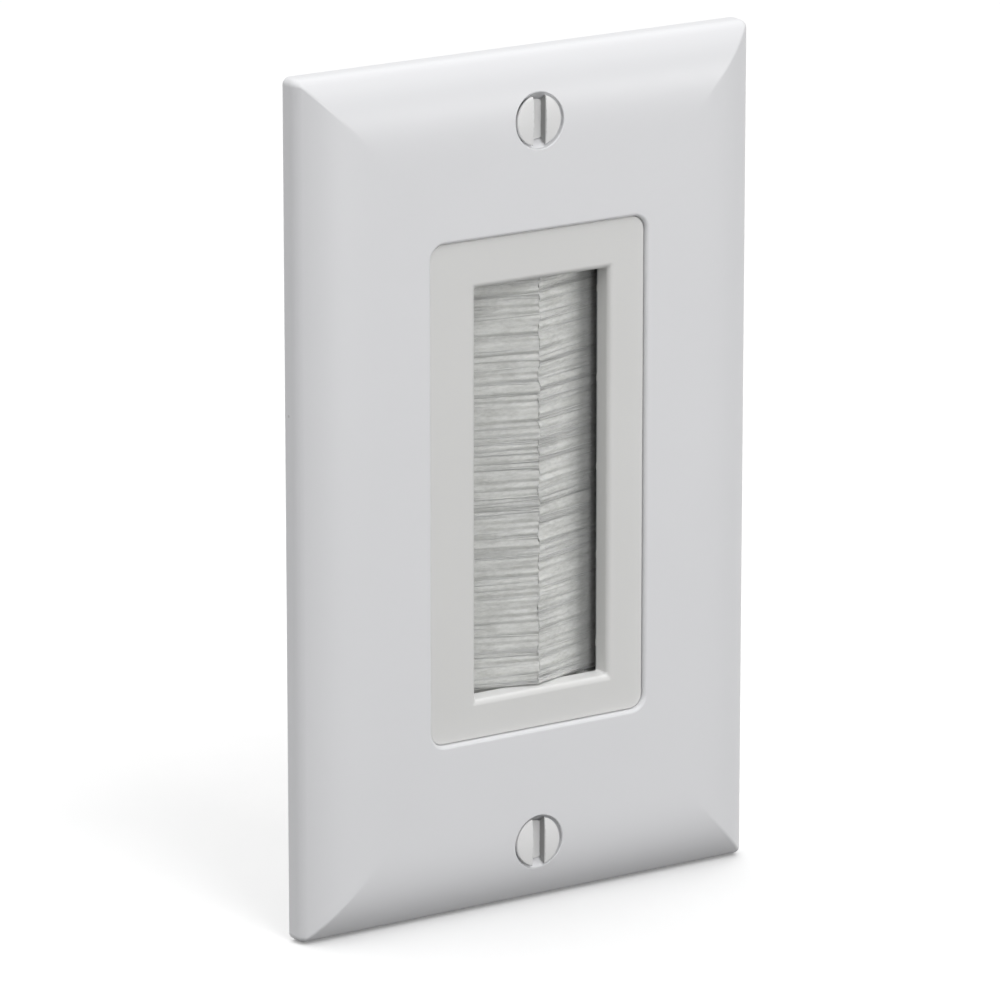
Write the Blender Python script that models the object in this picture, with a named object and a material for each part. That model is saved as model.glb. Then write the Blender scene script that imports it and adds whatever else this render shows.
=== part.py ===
"""Brush wall plate: a one-gang cover plate around a framed insert with two facing strip brushes.

Metres, +Z up, +X to the right as seen from the room, +Y into the wall. The origin is the middle of
the plate on the wall plane, so the plate lies at negative Y and what enters the wall at positive Y.
"""

import math
import random

import bmesh
import bpy

# Clearances
FIT_GAP = 0.0003
SNUG_GAP = 0.0002
CUT_MARGIN = 0.001
WELD_OVERLAP = 0.0004

# Cover plate
PLATE_WIDTH = 0.06985
PLATE_HEIGHT = 0.1143
PLATE_DEPTH = 0.0063
PLATE_RIM = 0.0026
PLATE_RIM_EDGE = 0.0004
PLATE_SLOPE_RUN = 0.014
PLATE_SLOPE_POWER = 3.8
PLATE_CORNER_RADIUS = 0.0018
PLATE_CREASE_RADIUS = 0.0003
PLATE_WALL = 0.0021
PLATE_END_BAND = 0.02375
OPENING_WIDTH = 0.0333
OPENING_RISE = 0.0006
OPENING_CORNER_RADIUS = 0.002
OPENING_EDGE_RADIUS = 0.0005
COLLAR_WALL = 0.0012
STIFFENER_CLEARANCE = 0.0006
STIFFENER_THICKNESS = 0.001
STIFFENER_SPACING = 0.022
STIFFENER_INSET = 0.0055
BOSS_RADIUS = 0.0031

# Insert: framed window, skirt and mounting strap in one moulding
INSERT_RECESS = 0.0006
INSERT_EDGE_RADIUS = 0.0003
INSERT_WALL = 0.0012
BEZEL_SIDE_WIDTH = 0.00525
BEZEL_END_WIDTH = 0.00505
WINDOW_SHIFT_X = 0.0008
WINDOW_SHIFT_Z = -0.0004
WINDOW_CORNER_RADIUS = 0.0003
WINDOW_EDGE_RADIUS = 0.0008
WINDOW_DRAFT = math.radians(7)
WINDOW_WALL_DEPTH = 0.0025
STRAP_THICKNESS = 0.0016
STRAP_SIDE_MARGIN = 0.00185
STRAP_END_MARGIN = 0.0026
STRAP_CORNER_RADIUS = 0.0022
EAR_WIDTH = 0.026
EAR_SETBACK = 0.00465
BOX_SLOT_TRAVEL = 0.0028
SEAT_RIB_THICKNESS = 0.0012
SEAT_RIB_SPACING = 0.012
HOOK_WIDTH = 0.005
HOOK_REACH = 0.0009
HOOK_THICKNESS = 0.0007
HOOK_SPACING = 0.034
SKIRT_LIP = 0.00068

# Strip brushes
BRUSH_ANGLE = math.radians(16.5)
RIDGE_SETBACK = 0.00085
CHANNEL_DEPTH = 0.004
CHANNEL_WALL = 0.0004
CHANNEL_OVERHANG = 0.0012
CHANNEL_MOUTH_SETBACK = 0.0005
CORE_WIRE_RADIUS = 0.00045
BRISTLE_FOLD_THICKNESS = 0.0003
BRISTLE_END_GAP = 0.0003
BRISTLE_ROOT_THICKNESS = 0.0017
BRISTLE_TIP_THICKNESS = 0.0021
LOCK_PITCH = 0.00125
LOCK_PITCH_SPREAD = 0.3
LOCK_DEPTH = 0.00026
LOCK_DEPTH_SPREAD = 0.5
LOCK_TIP_SCATTER = 0.00022
LOCK_SWAY = 0.00011
DIP_AT_MIDDLE = 0.8
SWAY_AT_MIDDLE = 0.4
SEAM_GAP = 0.0003
SEAM_WAVE = 0.00035
SEAM_WAVE_LENGTHS = (0.0053, 0.0031)

# Rear retainer
RETAINER_THICKNESS = 0.0016

# Screws
PLATE_SCREW_INSET = 0.00873
PLATE_SCREW_SINK = 0.0003
PLATE_SCREW_LENGTH = 0.0127
PLATE_SCREW_HEAD_RADIUS = 0.00335
PLATE_SCREW_HEAD_LAND = 0.00035
PLATE_SCREW_HEAD_DOME = 0.0003
PLATE_SCREW_CONE_ANGLE = math.radians(41)
PLATE_SCREW_SLOT_DEPTH = 0.0015
SCREW_SLOT_WIDTH = 0.0017
SCREW_SHANK_RADIUS = 0.00175
SCREW_POINT_CHAMFER = 0.0005
BOX_SCREW_STEP = 0.00675
BOX_SCREW_LENGTH = 0.0254
BOX_SCREW_HEAD_RADIUS = 0.0032
BOX_SCREW_HEAD_LAND = 0.0005
BOX_SCREW_HEAD_DOME = 0.0012
BOX_SCREW_SLOT_DEPTH = 0.001
WASHER_WIDTH = 0.0084
WASHER_CORNER_RADIUS = 0.0018
WASHER_THICKNESS = 0.0006

# Facets
CORNER_STEPS = 5
ROUND_SEGMENTS = 32
WIRE_SEGMENTS = 16
FOLD_STEPS = 4
DOME_STEPS = 5
EDGE_STEPS = 3
SLOPE_STATIONS = 8
SLOPE_STATION_POWER = 1.3
SMOOTH_ANGLE = math.radians(32)

# Values worked out from the sizes above
insert_face_y = INSERT_RECESS - PLATE_DEPTH
opening_half_width = OPENING_WIDTH / 2
opening_half_height = PLATE_HEIGHT / 2 - PLATE_END_BAND
insert_half_width = opening_half_width - FIT_GAP
insert_half_height = opening_half_height - FIT_GAP
cavity_half_width = insert_half_width - INSERT_WALL
cavity_half_height = insert_half_height - INSERT_WALL
bezel_back_y = insert_face_y + WINDOW_WALL_DEPTH
window_taper = (WINDOW_EDGE_RADIUS * (1 - math.sin(WINDOW_DRAFT))
                + (WINDOW_WALL_DEPTH - WINDOW_EDGE_RADIUS) * math.tan(WINDOW_DRAFT))
window_half_width = insert_half_width - BEZEL_SIDE_WIDTH
window_half_height = insert_half_height - BEZEL_END_WIDTH
throat_half_width = window_half_width - window_taper
throat_half_height = window_half_height - window_taper
opening_centre = (0.0, OPENING_RISE)
window_centre = (WINDOW_SHIFT_X, OPENING_RISE + WINDOW_SHIFT_Z)

bristle_row_height = 2 * (throat_half_height - BRISTLE_END_GAP)
channel_length = bristle_row_height + 2 * CHANNEL_OVERHANG
fold_inner_radius = CORE_WIRE_RADIUS + SNUG_GAP
fold_outer_radius = fold_inner_radius + BRISTLE_FOLD_THICKNESS
channel_inner_half = fold_outer_radius + SNUG_GAP
channel_outer_half = channel_inner_half + CHANNEL_WALL
channel_back = -(channel_inner_half + CHANNEL_WALL)
channel_mouth = channel_back + CHANNEL_DEPTH
brush_reach = (throat_half_width + CHANNEL_MOUTH_SETBACK) / math.cos(BRUSH_ANGLE) + channel_mouth
ridge_centre_y = (insert_face_y + RIDGE_SETBACK
                  + BRISTLE_TIP_THICKNESS / 2 / math.cos(BRUSH_ANGLE))
core_x = -brush_reach * math.cos(BRUSH_ANGLE)
core_y = ridge_centre_y + brush_reach * math.sin(BRUSH_ANGLE)

channel_rear_y = (core_y - channel_back * math.sin(BRUSH_ANGLE)
                  + channel_outer_half * math.cos(BRUSH_ANGLE))
retainer_front_y = channel_rear_y + FIT_GAP
retainer_back_y = retainer_front_y + RETAINER_THICKNESS
hook_front_y = retainer_back_y + FIT_GAP
insert_rear_y = hook_front_y + HOOK_THICKNESS + SKIRT_LIP
stiffener_back_y = -(STRAP_THICKNESS + STIFFENER_CLEARANCE)

plate_screw_z = PLATE_HEIGHT / 2 - PLATE_SCREW_INSET
box_screw_z = plate_screw_z - BOX_SCREW_STEP
box_screw_seat_y = -STRAP_THICKNESS - FIT_GAP
box_screw_top_y = box_screw_seat_y - BOX_SCREW_HEAD_LAND - BOX_SCREW_HEAD_DOME


def start_empty():
    """Removes what the scene holds, so that the model is all that is left."""
    for old in list(bpy.data.objects):
        bpy.data.objects.remove(old, do_unlink=True)


def make_material(name, colour, roughness, metallic=0.0):
    """Plain surface with a linear colour."""
    material = bpy.data.materials.new(name)
    material.use_nodes = True
    shader = material.node_tree.nodes["Principled BSDF"]
    shader.inputs["Base Color"].default_value = (*colour, 1.0)
    shader.inputs["Roughness"].default_value = roughness
    shader.inputs["Metallic"].default_value = metallic
    return material


def add_object(name, mesh, material=None, location=(0, 0, 0), rotation=(0, 0, 0), parent=None):
    """Links a mesh into the scene as a named object."""
    if material:
        mesh.materials.append(material)
    made = bpy.data.objects.new(name, mesh)
    made.location = location
    made.rotation_euler = rotation
    made.parent = parent
    bpy.context.scene.collection.objects.link(made)
    return made


def skinned(name, loops, smooth=False):
    """Closed solid through loops of equally many points, with a flat cap on its first and last."""
    shape = bmesh.new()
    rings = [[shape.verts.new(point) for point in loop] for loop in loops]
    count = len(rings[0])
    for near, far in zip(rings, rings[1:]):
        for i in range(count):
            j = (i + 1) % count
            shape.faces.new((near[i], near[j], far[j], far[i]))
    shape.faces.new(rings[0])
    shape.faces.new(rings[-1])
    bmesh.ops.recalc_face_normals(shape, faces=shape.faces)
    mesh = bpy.data.meshes.new(name)
    shape.to_mesh(mesh)
    shape.free()
    if smooth:
        mesh.shade_smooth()
        mesh.set_sharp_from_angle(angle=SMOOTH_ANGLE)
    return mesh


def rounded_rectangle(half_width, half_height, radius, y, centre=(0.0, 0.0)):
    """Rectangle with round corners in a plane parallel to the wall, at depth y."""
    points = []
    for quarter in range(4):
        side_x = 1 if quarter in (0, 3) else -1
        side_z = 1 if quarter in (0, 1) else -1
        corner_x = centre[0] + side_x * (half_width - radius)
        corner_z = centre[1] + side_z * (half_height - radius)
        for step in range(CORNER_STEPS + 1):
            angle = math.pi / 2 * (quarter + step / CORNER_STEPS)
            points.append((corner_x + radius * math.cos(angle), y,
                           corner_z + radius * math.sin(angle)))
    return points


def slab(name, half_width, half_height, radius, front_y, back_y, centre=(0.0, 0.0)):
    """Flat block parallel to the wall with round corners."""
    return skinned(name, [rounded_rectangle(half_width, half_height, radius, y, centre)
                          for y in (front_y, back_y)])


def block(name, low, high):
    """Box between two opposite corners."""
    outline = [(low[0], low[2]), (high[0], low[2]), (high[0], high[2]), (low[0], high[2])]
    return skinned(name, [[(x, y, z) for x, z in outline] for y in (low[1], high[1])])


def turned(name, profile, segments=ROUND_SEGMENTS):
    """Solid turned about the Y axis from (radius, y) points, closed flat at both ends."""
    loops = []
    for radius, y in profile:
        loops.append([(radius * math.cos(2 * math.pi * k / segments), y,
                       radius * math.sin(2 * math.pi * k / segments)) for k in range(segments)])
    return skinned(name, loops, smooth=True)


def upright_prism(name, outline, bottom, top, smooth=False):
    """Outline of (x, y) points drawn up from bottom to top."""
    return skinned(name, [[(x, y, z) for x, y in outline] for z in (bottom, top)], smooth)


def upright_rod(name, radius, half_length):
    """Round rod along the Z axis, with its middle at the origin."""
    turns = [2 * math.pi * k / WIRE_SEGMENTS for k in range(WIRE_SEGMENTS)]
    outline = [(radius * math.cos(turn), radius * math.sin(turn)) for turn in turns]
    return upright_prism(name, outline, -half_length, half_length, smooth=True)


def dome(radius, base_y, height):
    """Profile points of a screw head's crown, from near its middle out to its rim."""
    turns = [math.pi / 2 * step / DOME_STEPS for step in range(1, DOME_STEPS + 1)]
    return [(radius * math.sin(turn), base_y - height * math.cos(turn)) for turn in turns]


def combine(target, tool, operation):
    """Cuts the tool out of the target, or welds it on, and hides the tool."""
    modifier = target.modifiers.new(tool.name, "BOOLEAN")
    modifier.operation = operation
    modifier.solver = "EXACT"
    modifier.object = tool
    tool.hide_render = True
    tool.display_type = "WIRE"


def cut(target, tool):
    combine(target, tool, "DIFFERENCE")


def weld(target, tool):
    combine(target, tool, "UNION")


def rounded_opening(name, half_width, half_height, corner, edge, draft, front_y, depth, back_y,
                    centre=(0.0, 0.0)):
    """Cutter for an opening with a rounded front edge, a drafted wall and a straight rest."""
    stations = [(0.0, front_y - CUT_MARGIN)]
    for step in range(EDGE_STEPS + 1):
        angle = (math.pi / 2 - draft) * step / EDGE_STEPS
        stations.append((edge * math.sin(angle), front_y + edge * (1 - math.cos(angle))))
    inward, y = stations[-1]
    inward += (front_y + depth - y) * math.tan(draft)
    stations.append((inward, front_y + depth))
    stations.append((inward, back_y))
    loops = [rounded_rectangle(half_width - inward, half_height - inward, corner, y, centre)
             for inward, y in stations]
    return add_object(name, skinned(name, loops, smooth=True))


def plate_front(inset):
    """Height of the plate's front above the wall, at a distance in from the outer edge.

    From the rim it rises along a power curve that meets the flat face without a corner.
    """
    share = max(0.0, 1 - inset / PLATE_SLOPE_RUN)
    return PLATE_RIM + (PLATE_DEPTH - PLATE_RIM) * (1 - share ** PLATE_SLOPE_POWER)


def plate_slope(inset):
    """Angle of the plate's front to the wall at the same distance."""
    share = max(0.0, 1 - inset / PLATE_SLOPE_RUN)
    rise = PLATE_SLOPE_POWER * (PLATE_DEPTH - PLATE_RIM) / PLATE_SLOPE_RUN
    return math.atan(rise * share ** (PLATE_SLOPE_POWER - 1))


def plate_loop(inset, y):
    """Loop around the plate, whose round corner tightens into a mitre as it moves in."""
    radius = max(PLATE_CORNER_RADIUS - inset, PLATE_CREASE_RADIUS)
    return rounded_rectangle(PLATE_WIDTH / 2 - inset, PLATE_HEIGHT / 2 - inset, radius, y)


def slope_insets(first):
    """Distances in from the edge, closer together near the rim where the slope bends more."""
    run = PLATE_SLOPE_RUN - first
    shares = [(step / SLOPE_STATIONS) ** SLOPE_STATION_POWER for step in range(SLOPE_STATIONS + 1)]
    return [first + run * share for share in shares]


def plate_shell():
    """Pillowed front, straight rim with a small round edge, and an open back."""
    loops = [plate_loop(0.0, 0.0)]
    rise = plate_front(PLATE_RIM_EDGE)
    for step in range(EDGE_STEPS):
        angle = math.pi / 2 * step / EDGE_STEPS
        loops.append(plate_loop(PLATE_RIM_EDGE * (1 - math.cos(angle)),
                                -rise + PLATE_RIM_EDGE * (1 - math.sin(angle))))
    for inset in slope_insets(PLATE_RIM_EDGE):
        loops.append(plate_loop(inset, -plate_front(inset)))
    shell = add_object("wall_plate", skinned("wall_plate", loops, smooth=True), plate_plastic)

    hollow = [plate_loop(PLATE_WALL, CUT_MARGIN)]
    for inset in slope_insets(PLATE_WALL):
        depth = plate_front(inset) - PLATE_WALL / math.cos(plate_slope(inset))
        hollow.append(plate_loop(inset, -depth))
    cut(shell, add_object("plate_hollow_cutter", skinned("plate_hollow_cutter", hollow)))
    return shell


def add_plate_stiffeners(plate):
    """Collar around the opening, and ribs from the collar to the long sides."""
    front_y = PLATE_WALL - PLATE_DEPTH - WELD_OVERLAP
    collar_half_width = opening_half_width + COLLAR_WALL
    collar_half_height = opening_half_height + COLLAR_WALL
    corner = OPENING_CORNER_RADIUS + COLLAR_WALL
    weld(plate, add_object("plate_collar", slab("plate_collar", collar_half_width,
                                                collar_half_height, corner, front_y,
                                                stiffener_back_y, opening_centre)))
    outer_x = PLATE_WIDTH / 2 - STIFFENER_INSET
    inner_x = collar_half_width - WELD_OVERLAP
    half = STIFFENER_THICKNESS / 2
    for side in (-1, 1):
        for row in (-1, 0, 1):
            z = row * STIFFENER_SPACING
            low_x, high_x = sorted((side * inner_x, side * outer_x))
            name = f"plate_rib_{'left' if side < 0 else 'right'}_{row + 1}"
            rib = block(name, (low_x, front_y, z - half), (high_x, stiffener_back_y, z + half))
            weld(plate, add_object(name, rib))


def cone_length(radius_drop):
    """Length over which a countersunk head narrows by this much in radius."""
    return radius_drop / math.tan(PLATE_SCREW_CONE_ANGLE)


def cut_screw_seats(plate, head_y):
    """Countersunk holes for the plate screws, each with a boss behind it."""
    land_y = head_y + PLATE_SCREW_HEAD_LAND
    wide = PLATE_SCREW_HEAD_RADIUS + FIT_GAP
    narrow = SCREW_SHANK_RADIUS + FIT_GAP
    seat = turned("screw_seat", [(wide, head_y - CUT_MARGIN),
                                 (wide, land_y),
                                 (narrow, land_y + cone_length(wide - narrow)),
                                 (narrow, CUT_MARGIN)])
    boss = turned("screw_boss", [(BOSS_RADIUS, PLATE_WALL - PLATE_DEPTH - WELD_OVERLAP),
                                 (BOSS_RADIUS, stiffener_back_y)])
    for end in (-1, 1):
        place = (0, 0, end * plate_screw_z)
        label = "bottom" if end < 0 else "top"
        weld(plate, add_object(f"screw_boss_{label}", boss, location=place))
        cut(plate, add_object(f"screw_seat_{label}", seat, location=place))


def cut_head_pockets(plate):
    """Pockets that keep the back of a shallow plate clear of the box screws' heads."""
    pocket = turned("head_pocket", [(BOX_SCREW_HEAD_RADIUS + FIT_GAP, box_screw_top_y - FIT_GAP),
                                    (BOX_SCREW_HEAD_RADIUS + FIT_GAP, CUT_MARGIN)])
    for end in (-1, 1):
        label = "bottom" if end < 0 else "top"
        cut(plate, add_object(f"head_pocket_{label}", pocket, location=(0, 0, end * box_screw_z)))


def insert_body():
    """Bezel and skirt with the mounting strap around them, hollow from behind."""
    edge = INSERT_EDGE_RADIUS
    corner = OPENING_CORNER_RADIUS - FIT_GAP
    loops = []
    for step in range(EDGE_STEPS + 1):
        angle = math.pi / 2 * step / EDGE_STEPS
        inset = edge * (1 - math.sin(angle))
        loops.append(rounded_rectangle(insert_half_width - inset, insert_half_height - inset,
                                       corner - inset, insert_face_y + edge * (1 - math.cos(angle)),
                                       opening_centre))
    loops.append(rounded_rectangle(insert_half_width, insert_half_height, corner, insert_rear_y,
                                   opening_centre))
    body = add_object("insert_frame", skinned("insert_frame", loops, smooth=True), insert_plastic)

    weld(body, add_object("strap_body", slab("strap_body", opening_half_width + STRAP_SIDE_MARGIN,
                                             opening_half_height + STRAP_END_MARGIN,
                                             STRAP_CORNER_RADIUS, -STRAP_THICKNESS, 0.0)))
    weld(body, add_object("strap_ears", slab("strap_ears", EAR_WIDTH / 2,
                                             PLATE_HEIGHT / 2 - EAR_SETBACK, STRAP_CORNER_RADIUS,
                                             -STRAP_THICKNESS, 0.0)))
    cut(body, add_object("skirt_hollow", slab("skirt_hollow", cavity_half_width, cavity_half_height,
                                              corner - edge, bezel_back_y,
                                              insert_rear_y + CUT_MARGIN, opening_centre)))
    cut(body, rounded_opening("window_cutter", window_half_width, window_half_height,
                              WINDOW_CORNER_RADIUS, WINDOW_EDGE_RADIUS, WINDOW_DRAFT,
                              insert_face_y, WINDOW_WALL_DEPTH, bezel_back_y + CUT_MARGIN,
                              window_centre))
    return body


def cut_strap_holes(body):
    """Pilot holes for the plate screws, and slots that let the box screws shift."""
    hole_radius = SCREW_SHANK_RADIUS + FIT_GAP
    hole = turned("pilot_hole", [(hole_radius, -STRAP_THICKNESS - CUT_MARGIN),
                                 (hole_radius, CUT_MARGIN)])
    for end in (-1, 1):
        label = "bottom" if end < 0 else "top"
        cut(body, add_object(f"pilot_hole_{label}", hole,
                             location=(0, 0, end * plate_screw_z)))
        slot = slab("box_slot", hole_radius + BOX_SLOT_TRAVEL / 2, hole_radius,
                    hole_radius - SNUG_GAP, -STRAP_THICKNESS - CUT_MARGIN, CUT_MARGIN)
        cut(body, add_object(f"box_slot_{label}", slot,
                             location=(0, 0, end * box_screw_z)))


def rib_rows():
    """Heights of the ribs that hold the brush strips: one past each end, and evenly spaced ones."""
    end = channel_length / 2 + FIT_GAP + SEAT_RIB_THICKNESS / 2 + SNUG_GAP
    reach = int((end - SEAT_RIB_THICKNESS) / SEAT_RIB_SPACING)
    return [-end] + [row * SEAT_RIB_SPACING for row in range(-reach, reach + 1)] + [end]


def add_ribs(target, prefix, front_y, back_y, outer_half_width):
    """Welds upright ribs beside the window, between it and the given half width."""
    half = SEAT_RIB_THICKNESS / 2
    for side in (-1, 1):
        near = window_centre[0] + side * (throat_half_width + FIT_GAP)
        low_x, high_x = sorted((near, side * outer_half_width))
        for row, z in enumerate(rib_rows()):
            z += window_centre[1]
            name = f"{prefix}_{'left' if side < 0 else 'right'}_{row}"
            rib = block(name, (low_x, front_y, z - half), (high_x, back_y, z + half))
            weld(target, add_object(name, rib))


def add_hooks(body):
    """Snap hooks on the long sides of the skirt, behind the retainer."""
    half = HOOK_WIDTH / 2
    for side in (-1, 1):
        for end in (-1, 1):
            low_x, high_x = sorted((side * (cavity_half_width - HOOK_REACH),
                                    side * (cavity_half_width + WELD_OVERLAP)))
            z = OPENING_RISE + end * HOOK_SPACING / 2
            name = f"hook_{'left' if side < 0 else 'right'}_{'lower' if end < 0 else 'upper'}"
            hook = block(name, (low_x, hook_front_y, z - half),
                         (high_x, hook_front_y + HOOK_THICKNESS, z + half))
            weld(body, add_object(name, hook))


def brush_mount(side):
    """Empty at the window's middle, turned half round the depth axis for the right side."""
    mount = bpy.data.objects.new(f"{side}_brush_mount", None)
    mount.location = (window_centre[0], 0, window_centre[1])
    if side == "right":
        mount.rotation_euler = (0, math.pi, 0)
    bpy.context.scene.collection.objects.link(mount)
    return mount


def place_on_brush(name, mesh, material, mount):
    """Puts a mesh drawn about its core wire, with its tips toward +X, on its mount."""
    return add_object(name, mesh, material, location=(core_x, core_y, 0),
                      rotation=(0, 0, -BRUSH_ANGLE), parent=mount)


def channel_mesh(name):
    """Folded strip of U section, open toward the bristle tips."""
    outer, inner = channel_outer_half, channel_inner_half
    back, floor = channel_back, channel_back + CHANNEL_WALL
    bend = CHANNEL_WALL
    outline = [(channel_mouth, -outer), (channel_mouth, -inner), (floor, -inner), (floor, inner),
               (channel_mouth, inner), (channel_mouth, outer), (back + bend, outer),
               (back, outer - bend), (back, bend - outer), (back + bend, -outer)]
    return upright_prism(name, outline, -channel_length / 2, channel_length / 2)


def seam(z):
    """Sideways wander of the line where both brushes meet, at a height from the window's middle."""
    long_wave, short_wave = SEAM_WAVE_LENGTHS
    wave = math.sin(2 * math.pi * z / long_wave) + math.sin(2 * math.pi * z / short_wave + 1.0)
    return SEAM_WAVE * wave / 2


def lock_heights(rng):
    """Heights of the valleys and crests across the bristles, two for each lock."""
    locks = round(bristle_row_height / LOCK_PITCH)
    weights = [rng.uniform(1 - LOCK_PITCH_SPREAD, 1 + LOCK_PITCH_SPREAD) for _ in range(locks)]
    scale = bristle_row_height / sum(weights)
    heights, z = [-bristle_row_height / 2], -bristle_row_height / 2
    for weight in weights:
        heights += [z + weight * scale / 2, z + weight * scale]
        z += weight * scale
    return heights


def bristle_mesh(name, side, rng):
    """Bundle of filaments folded over the core wire, ribbed into locks with uneven tips.

    Each crest is the middle of a lock and each valley lies between two. The tip face stands square
    to the wall, so that both bundles meet along the wandering seam.
    """
    heights = lock_heights(rng)
    tilt = math.tan(BRUSH_ANGLE)
    loops = []
    for index, z in enumerate(heights):
        crest = index % 2 == 1
        end = index in (0, len(heights) - 1)
        dip = 0.0 if crest else LOCK_DEPTH * rng.uniform(1 - LOCK_DEPTH_SPREAD, 1)
        sway = 0.0 if end else rng.uniform(-LOCK_SWAY, LOCK_SWAY)
        wander = seam(z) if side == "left" else -seam(-z)
        short = rng.uniform(0.0, LOCK_TIP_SCATTER) + (0.0 if crest else LOCK_TIP_SCATTER)
        tip = brush_reach + (wander - SEAM_GAP / 2 - short) / math.cos(BRUSH_ANGLE)
        root_half = BRISTLE_ROOT_THICKNESS / 2
        tip_half = BRISTLE_TIP_THICKNESS / 2
        middle = (channel_mouth + tip) / 2
        middle_half = (root_half + tip_half) / 2 - dip * DIP_AT_MIDDLE
        skew = (tip_half - dip) * tilt
        front = [(tip + skew, dip - tip_half, z + sway),
                 (middle, -middle_half, z + sway * SWAY_AT_MIDDLE),
                 (channel_mouth, -root_half, z)]
        rear = [(channel_mouth, root_half, z),
                (middle, middle_half, z + sway * SWAY_AT_MIDDLE),
                (tip - skew, tip_half - dip, z + sway)]
        fold = []
        for step in range(FOLD_STEPS + 1):
            turn = math.pi * step / FOLD_STEPS
            fold.append((-fold_outer_radius * math.sin(turn),
                         -fold_outer_radius * math.cos(turn), z))
        loops.append(front + fold + rear)
    return skinned(name, loops)


def add_brush(side, rng):
    """Channel, core wire and bristles of one strip brush, on the mount of its side."""
    mount = brush_mount(side)
    place_on_brush(f"{side}_brush_channel", channel_mesh(f"{side}_brush_channel"),
                   strip_metal, mount)
    wire = upright_rod(f"{side}_core_wire", CORE_WIRE_RADIUS, bristle_row_height / 2)
    place_on_brush(f"{side}_core_wire", wire, wire_metal, mount)
    bristles = place_on_brush(f"{side}_bristles", bristle_mesh(f"{side}_bristles", side, rng),
                              bristle_nylon, mount)
    bore = upright_rod(f"{side}_core_bore", fold_inner_radius, bristle_row_height / 2 + CUT_MARGIN)
    cut(bristles, place_on_brush(f"{side}_core_bore", bore, None, mount))

    half = channel_outer_half + FIT_GAP
    back = channel_back - FIT_GAP
    far = channel_mouth + CHANNEL_DEPTH
    end = channel_length / 2 + FIT_GAP
    pocket = upright_prism(f"{side}_brush_pocket", [(back, -half), (far, -half),
                                                    (far, half), (back, half)], -end, end)
    return place_on_brush(f"{side}_brush_pocket", pocket, None, mount)


def retainer_ring():
    """Frame that closes the skirt behind the brush strips and leaves the cable passage free."""
    corner = OPENING_CORNER_RADIUS - FIT_GAP - INSERT_EDGE_RADIUS
    ring = add_object("brush_retainer", slab("brush_retainer", cavity_half_width - FIT_GAP,
                                             cavity_half_height - FIT_GAP, corner,
                                             retainer_front_y, retainer_back_y, opening_centre),
                      insert_plastic)
    add_ribs(ring, "retainer_rib", core_y, retainer_front_y + WELD_OVERLAP,
             cavity_half_width - 2 * FIT_GAP)
    passage = slab("passage_cutter", throat_half_width, throat_half_height, WINDOW_CORNER_RADIUS,
                   core_y - CUT_MARGIN, retainer_back_y + CUT_MARGIN, window_centre)
    cut(ring, add_object("passage_cutter", passage))
    return ring


def add_slot(screw, head_top_y, depth, head_radius):
    """Straight driver slot, upright across the whole head."""
    half = SCREW_SLOT_WIDTH / 2
    reach = head_radius + CUT_MARGIN
    name = f"{screw.name}_slot"
    slot = block(name, (-half, head_top_y - CUT_MARGIN, -reach), (half, head_top_y + depth, reach))
    cut(screw, add_object(name, slot, location=screw.location))


def plate_screw_mesh(head_y):
    """Countersunk screw with a low dome, whose rim lies a little under the plate's surface."""
    radius = PLATE_SCREW_HEAD_RADIUS
    land_y = head_y + PLATE_SCREW_HEAD_LAND
    shank_y = land_y + cone_length(radius - SCREW_SHANK_RADIUS)
    tip_y = head_y + PLATE_SCREW_LENGTH
    profile = dome(radius, head_y, PLATE_SCREW_HEAD_DOME)
    profile += [(radius, land_y), (SCREW_SHANK_RADIUS, shank_y)]
    profile += [(SCREW_SHANK_RADIUS, tip_y - SCREW_POINT_CHAMFER),
                (SCREW_SHANK_RADIUS - SCREW_POINT_CHAMFER, tip_y)]
    return turned("plate_screw", profile)


def box_screw_mesh():
    """Round-headed screw that draws the strap onto the wall box."""
    radius = BOX_SCREW_HEAD_RADIUS
    tip_y = box_screw_seat_y + BOX_SCREW_LENGTH
    profile = dome(radius, box_screw_seat_y - BOX_SCREW_HEAD_LAND, BOX_SCREW_HEAD_DOME)
    profile += [(radius, box_screw_seat_y), (SCREW_SHANK_RADIUS, box_screw_seat_y)]
    profile += [(SCREW_SHANK_RADIUS, tip_y - SCREW_POINT_CHAMFER),
                (SCREW_SHANK_RADIUS - SCREW_POINT_CHAMFER, tip_y)]
    return turned("box_screw", profile)


def add_screws(head_y):
    """Two plate screws, two box screws, and the washers that keep the box screws in the strap."""
    plate_screw = plate_screw_mesh(head_y)
    box_screw = box_screw_mesh()
    washer = slab("washer", WASHER_WIDTH / 2, WASHER_WIDTH / 2, WASHER_CORNER_RADIUS,
                  FIT_GAP, FIT_GAP + WASHER_THICKNESS)
    hole_radius = SCREW_SHANK_RADIUS + FIT_GAP
    washer_hole = turned("washer_hole", [(hole_radius, 0.0),
                                         (hole_radius, FIT_GAP + WASHER_THICKNESS + CUT_MARGIN)])
    for end, label in ((1, "top"), (-1, "bottom")):
        place = (0, 0, end * plate_screw_z)
        screw = add_object(f"plate_screw_{label}", plate_screw.copy(), screw_paint, place)
        add_slot(screw, head_y - PLATE_SCREW_HEAD_DOME, PLATE_SCREW_SLOT_DEPTH,
                 PLATE_SCREW_HEAD_RADIUS)

        place = (0, 0, end * box_screw_z)
        screw = add_object(f"box_screw_{label}", box_screw.copy(), zinc_steel, place)
        add_slot(screw, box_screw_top_y, BOX_SCREW_SLOT_DEPTH, BOX_SCREW_HEAD_RADIUS)
        ring = add_object(f"retaining_washer_{label}", washer.copy(), washer_fibre, place)
        cut(ring, add_object(f"washer_hole_{label}", washer_hole, location=place))


start_empty()

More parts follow.
